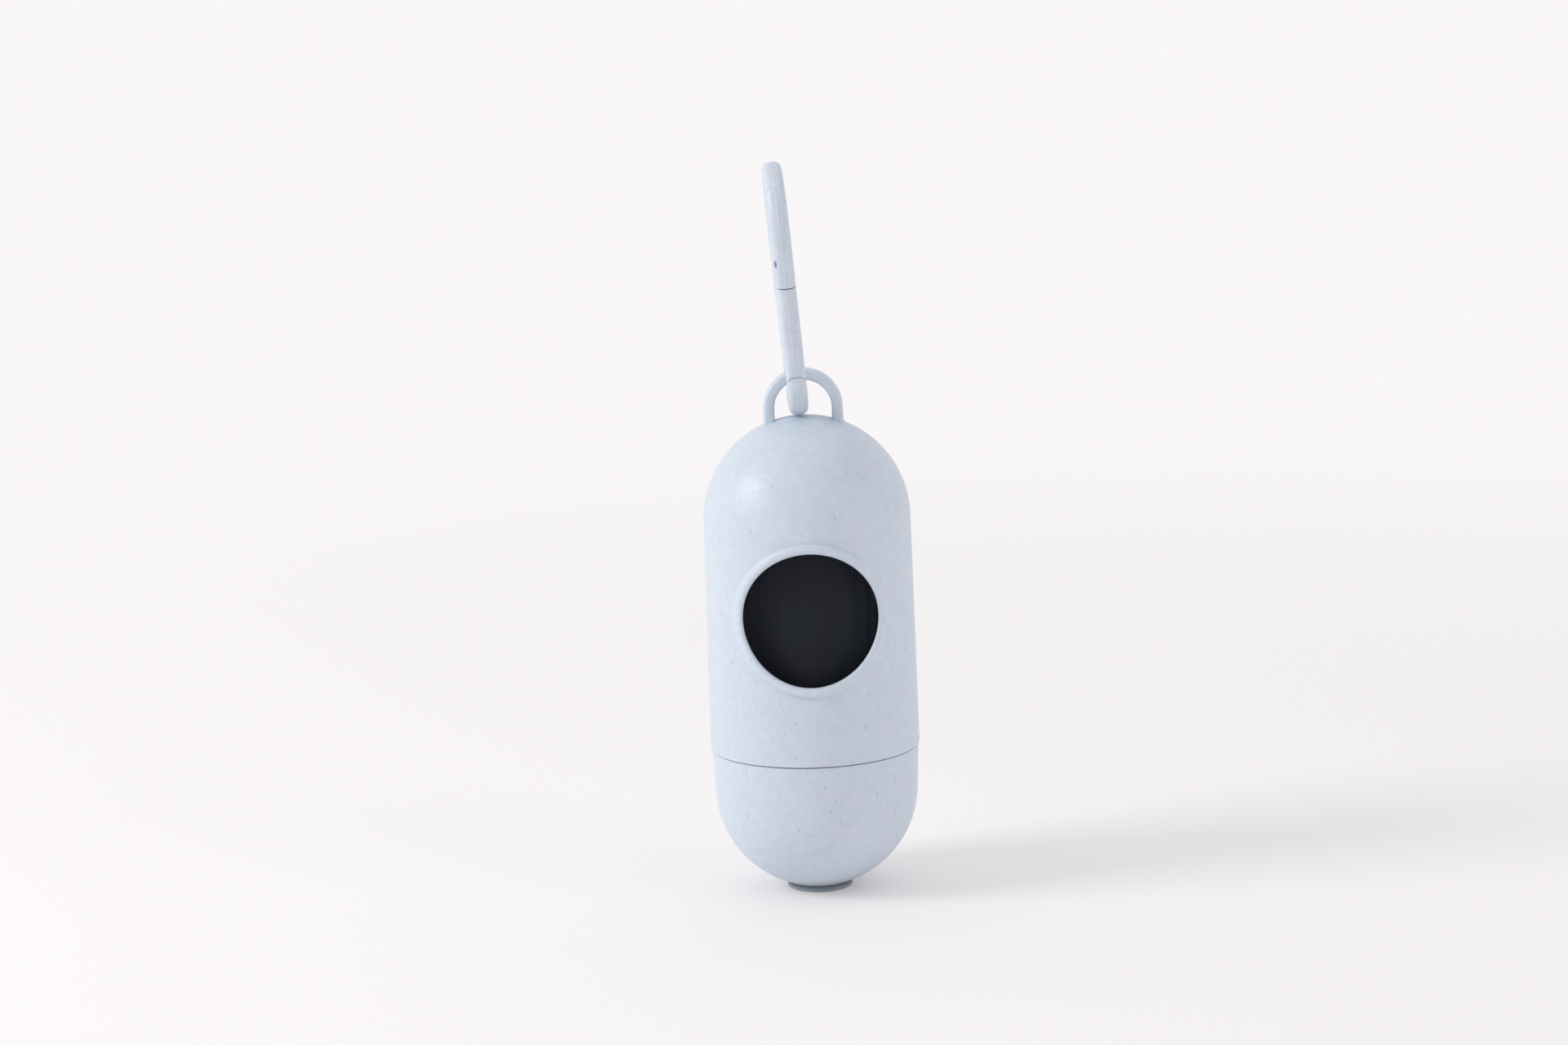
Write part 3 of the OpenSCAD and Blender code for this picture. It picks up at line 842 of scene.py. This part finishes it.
def frame_rings():
    """Rings from the gate's seat, round both bends, to the tip of the nose."""
    start = -ARM_SLOPE - SEAT_TURN
    end = -math.pi + ARM_SLOPE
    rings = [end_ring(SEAT_R, -1, 0, -HEEL_EASE), end_ring(SEAT_R, -1, -HEEL_EASE, 0)]
    rings += [bend_ring(NARROW_R, 0, start + (end - start) * i / 44) for i in range(45)]
    low, high = rings[-1], bend_ring(WIDE_R, BEND_GAP, math.pi + ARM_SLOPE)
    for i in range(1, 8):
        rings.append([p.lerp(q, i / 8) for p, q in zip(low, high)])
    turn = math.pi + 2 * ARM_SLOPE
    rings += [bend_ring(WIDE_R, BEND_GAP, math.pi + ARM_SLOPE - turn * i / 72) for i in range(73)]
    reach = GATE_LEN + GATE_GAP
    bend_end = rings[-1]
    tip = end_ring(reach, 1, NOSE_EASE, 0)
    for i in range(1, 4):
        rings.append([p.lerp(q, i / 4) for p, q in zip(bend_end, tip)])
    rings += [tip, end_ring(reach, 1, 0, -NOSE_EASE)]
    return rings


def cutter(outline, thick):
    """A tool with sharp edges in the gate's frame."""
    return make("cutter", *slab(outline, thick, 0.0, GATE))


def clip_frame():
    """The carabiner's frame: bent bar, slotted nose and the lug for the pin."""
    piece = make("clip_frame", *skin(frame_rings()))
    deep = -BAR_D
    notch_r = CROSS_R + CROSS_GAP
    slot_t = TONGUE_T + 2 * SIDE_GAP
    combine(
        piece,
        cutter(box_outline((deep, SLOT_OUT), (GATE_LEN / 2, CROSS_Y + 2 * CROSS_R)), slot_t),
        "DIFFERENCE",
    )
    notch = arc(CROSS_X, CROSS_Y, notch_r, -90, 90, 32)
    notch += [(deep, CROSS_Y + notch_r), (deep, CROSS_Y - notch_r)]
    combine(piece, cutter(notch, 2 * BAR_T), "DIFFERENCE")
    lug = arc(-PIVOT_IN, 0, LUG_R, 0, 90, 16)
    lug += [(-PIVOT_IN - 0.6, LUG_R - 0.03)]
    lug += arc(-PIVOT_IN - 0.85, 0.85, 0.6, 90, 180, 6)
    lug += [(-PIVOT_IN - LUG_R, -SEAT_R - 0.5), (-PIVOT_IN + LUG_R, -SEAT_R - 0.5)]
    combine(piece, make("lug", *slab(lug, LUG_T, 0.1, GATE)), "UNION")
    combine(piece, cutter(disc(-PIVOT_IN, 0, PIN_R), 2 * BAR_T), "DIFFERENCE")
    ball, faces, _ = revolve(arc(0, 0, 1, -90, 90, 12), 24)
    oval = []
    for x, y, z in ball:
        point = [c + half * u for c, half, u in zip(DIMPLE, DIMPLE_HALF, (x, z, y))]
        oval.append(GATE @ Vector(point))
    combine(piece, make("dimple", oval, faces), "DIFFERENCE")
    return piece


def clip_gate():
    """The gate: a bar with a round heel, a fork over the lug, and a tongue with a cross bar."""
    heel_r = SEAT_R - HEEL_GAP
    heel = end_ring(heel_r, -1, HEEL_EASE, 0, HEEL_RELIEF)
    tip = end_ring(GATE_LEN, 1, -NOSE_EASE, 0)
    rings = [end_ring(heel_r, -1, 0, -HEEL_EASE, HEEL_RELIEF)]
    rings += [[p.lerp(q, i / 8) for p, q in zip(heel, tip)] for i in range(9)]
    rings += [end_ring(GATE_LEN, 1, 0, -NOSE_EASE)]
    piece = make("clip_gate", *skin(rings))
    fork_t = LUG_T + 2 * SIDE_GAP
    fork = box_outline((-BAR_D, -PIVOT_IN + LUG_R + LUG_WALL), (-HEEL_R - 1, LUG_R + 2 * LUG_WALL))
    combine(piece, cutter(fork, fork_t), "DIFFERENCE")
    combine(piece, cutter(disc(-PIVOT_IN, 0, PIN_R + PIN_GAP), 2 * BAR_T), "DIFFERENCE")
    spring_len = SPRING_PITCH * SPRING_TURNS + SPRING_WIRE + SPRING_GAP
    bore = [
        [
            GATE @ Vector((SPRING_X + x, SPRING_Y + y, z))
            for x, z in disc(0, 0, SPRING_R + SPRING_GAP, 48)
        ]
        for y in (0.0, spring_len)
    ]
    combine(piece, make("bore", *skin(bore)), "DIFFERENCE")
    tongue = box_outline((-BAR_D / 2 + 4 * SIDE_GAP, SLOT_OUT - SIDE_GAP), (GATE_LEN - 1, CROSS_Y))
    combine(piece, make("tongue", *slab(tongue, TONGUE_T, 0.08, GATE)), "UNION")
    bar = slab(disc(CROSS_X, CROSS_Y, CROSS_R), BAR_T - 2 * SIDE_GAP, 0.12, GATE)
    combine(piece, make("cross_bar", *bar), "UNION")
    return piece


def hinge_pin():
    """The pin that the gate turns on."""
    pin = slab(disc(-PIVOT_IN, 0, PIN_R - 0.002), BAR_T - 2 * SIDE_GAP, 0.12, GATE)
    return make("hinge_pin", *pin)


def return_spring():
    """One unbroken coil of round wire."""
    steps = 28
    wire = SPRING_WIRE / 2
    rings = []
    for i in range(steps * SPRING_TURNS + 1):
        a = TURN * i / steps
        ring = []
        for u, v in disc(0, 0, wire, 12):
            r = SPRING_R - wire + u
            y = SPRING_Y + wire + v + SPRING_PITCH * i / steps
            ring.append(GATE @ Vector((SPRING_X + r * math.cos(a), y, -r * math.sin(a))))
        rings.append(ring)
    return make("return_spring", *skin(rings))


# ---------------------------------------------------------------- camera
PHOTO_W, PHOTO_H = 1920, 1280
FOCAL_PX = 4534.0
SENSOR = 36.0
CAMERA_FAR = 0.700
CAMERA_UP = math.radians(12.2)
CAMERA_ROLL = math.radians(2.1)
AIM = Vector((0, 0, 0.0454))
AIM_PIXEL = (994.2, 797.8)


def add_camera():
    """Puts the camera where the photograph was taken, with no lens shift."""
    data = bpy.data.cameras.new("camera")
    data.sensor_width = SENSOR
    data.lens = FOCAL_PX / PHOTO_W * SENSOR
    data.clip_start, data.clip_end = 0.05, 20
    camera = bpy.data.objects.new("camera", data)
    bpy.context.scene.collection.objects.link(camera)
    back = Vector((0, -math.cos(CAMERA_UP), math.sin(CAMERA_UP)))
    look = (-back).to_track_quat("-Z", "Y") @ Quaternion((0, 0, 1), -CAMERA_ROLL)
    across = (AIM_PIXEL[0] - PHOTO_W / 2) / FOCAL_PX
    down = (AIM_PIXEL[1] - PHOTO_H / 2) / FOCAL_PX
    seen = Vector((across, -down, -1)).normalized()
    camera.rotation_mode = "QUATERNION"
    camera.rotation_quaternion = look @ seen.rotation_difference(Vector((0, 0, -1)))
    camera.location = AIM + back * CAMERA_FAR
    bpy.context.scene.camera = camera


# ---------------------------------------------------------------- studio
WHITE = (0.955, 0.925, 0.935, 1)


def area_light(name, azimuth, elevation, far, size, power, colour):
    """A softbox aimed at the case. Azimuth 0 is the camera's side, 90 the right."""
    data = bpy.data.lights.new(name, "AREA")
    data.shape = "RECTANGLE"
    data.size, data.size_y = size
    data.energy = power
    data.color = colour
    lamp = bpy.data.objects.new(name, data)
    bpy.context.scene.collection.objects.link(lamp)
    a, e = math.radians(azimuth), math.radians(elevation)
    out = Vector((math.sin(a) * math.cos(e), -math.cos(a) * math.cos(e), math.sin(e)))
    lamp.location = AIM + out * far
    lamp.rotation_euler = (-out).to_track_quat("-Z", "Y").to_euler()


def add_world():
    """Pale surroundings, dimmer on the camera's side, and a plain white behind the case."""
    world = bpy.data.worlds.new("studio")
    bpy.context.scene.world = world
    world.use_nodes = True
    tree = world.node_tree
    where = node(tree, "TexCoord")
    parts = node(tree, "SeparateXYZ", {0: where.outputs["Generated"]})
    strength = ramp(tree, parts.outputs["Y"], -0.9, 0.3, 0.52, 0.86)
    lit = tree.nodes["Background"]
    lit.inputs["Color"].default_value = (0.99, 0.985, 1.0, 1)
    tree.links.new(strength, lit.inputs["Strength"])
    seen = node(tree, "Background", {"Color": WHITE, "Strength": 1.0})
    ray = node(tree, "LightPath")
    plain = node(
        tree,
        "Math",
        {0: ray.outputs["Is Camera Ray"], 1: ray.outputs["Is Transmission Ray"]},
        operation="MAXIMUM",
    )
    out = node(tree, "MixShader", {0: plain.outputs[0], 1: lit.outputs[0], 2: seen.outputs[0]})
    tree.links.new(out.outputs[0], tree.nodes["World Output"].inputs["Surface"])


def add_floor():
    """A pale floor that takes the shadows and fades into the background further out."""
    mesh = bpy.data.meshes.new("floor")
    half = 3.0
    corners = [(-half, -half, 0), (half, -half, 0), (half, half, 0), (-half, half, 0)]
    mesh.from_pydata(corners, [], [(0, 1, 2, 3)])
    floor = bpy.data.objects.new("floor", mesh)
    bpy.context.scene.collection.objects.link(floor)
    mat, tree, shader = new_material("floor")
    shader.inputs["Base Color"].default_value = (0.935, 0.912, 0.908, 1)
    shader.inputs["Roughness"].default_value = 0.9
    shader.inputs["Specular IOR Level"].default_value = 0.1
    glow = node(tree, "Emission", {"Color": WHITE})
    where = node(tree, "NewGeometry")
    far = node(tree, "VectorMath", {0: where.outputs["Position"]}, operation="LENGTH")
    fade = node(
        tree,
        "MapRange",
        {"Value": far.outputs["Value"], "From Min": 0.1, "From Max": 0.6, "To Min": 0.2},
        interpolation_type="SMOOTHSTEP",
    )
    ray = node(tree, "LightPath")
    both = math_node(tree, "MULTIPLY", fade.outputs["Result"], ray.outputs["Is Camera Ray"])
    out = node(tree, "MixShader", {0: both, 1: shader.outputs[0], 2: glow.outputs[0]})
    tree.links.new(out.outputs[0], tree.nodes["Material Output"].inputs["Surface"])
    mesh.materials.append(mat)


# ---------------------------------------------------------------- the scene
bpy.context.scene.view_settings.view_transform = "Standard"
add_camera()
add_world()
add_floor()
area_light("key", -76, 29, 1.2, (0.45, 0.45), 6.5, (1.0, 0.985, 0.97))
area_light("fill", 58, 17, 1.5, (0.7, 0.5), 2.6, (1.0, 0.97, 0.96))

PALE_BLUE = (0.628, 0.703, 0.792)
CLIP_BLUE = (0.665, 0.735, 0.825)
# The cap's plastic carries painted shade on its foot ring.
cap_plastic = speckled_plastic("cap_plastic", PALE_BLUE, (0, 0, 0), painted_foot_shade=True)
shell_plastic = speckled_plastic("shell_plastic", PALE_BLUE, (0.3, 0.1, 0.2))
clip_plastic = speckled_plastic("clip_plastic", CLIP_BLUE, (0.6, 0.4, 0.1), streaked=True)
pin_steel = steel("pin_steel", (0.56, 0.56, 0.58), 1800.0, 0.28)
spring_steel = steel("spring_steel", (0.5, 0.5, 0.52), 2500.0, 0.3)
dress(cup(), "screw_cap", "cap", cap_plastic)
dress(case(), "upper_shell", "shell", shell_plastic)
dress(card_core(), "roll_core", "core", card())
dress(film_roll(), "bag_roll", "roll", black_film())
dress(clip_frame(), "carabiner_frame", "carabiner", clip_plastic)
dress(clip_gate(), "carabiner_gate", "gate", clip_plastic)
dress(hinge_pin(), "gate_pin", "carabiner", pin_steel)
dress(return_spring(), "gate_spring", "gate", spring_steel)
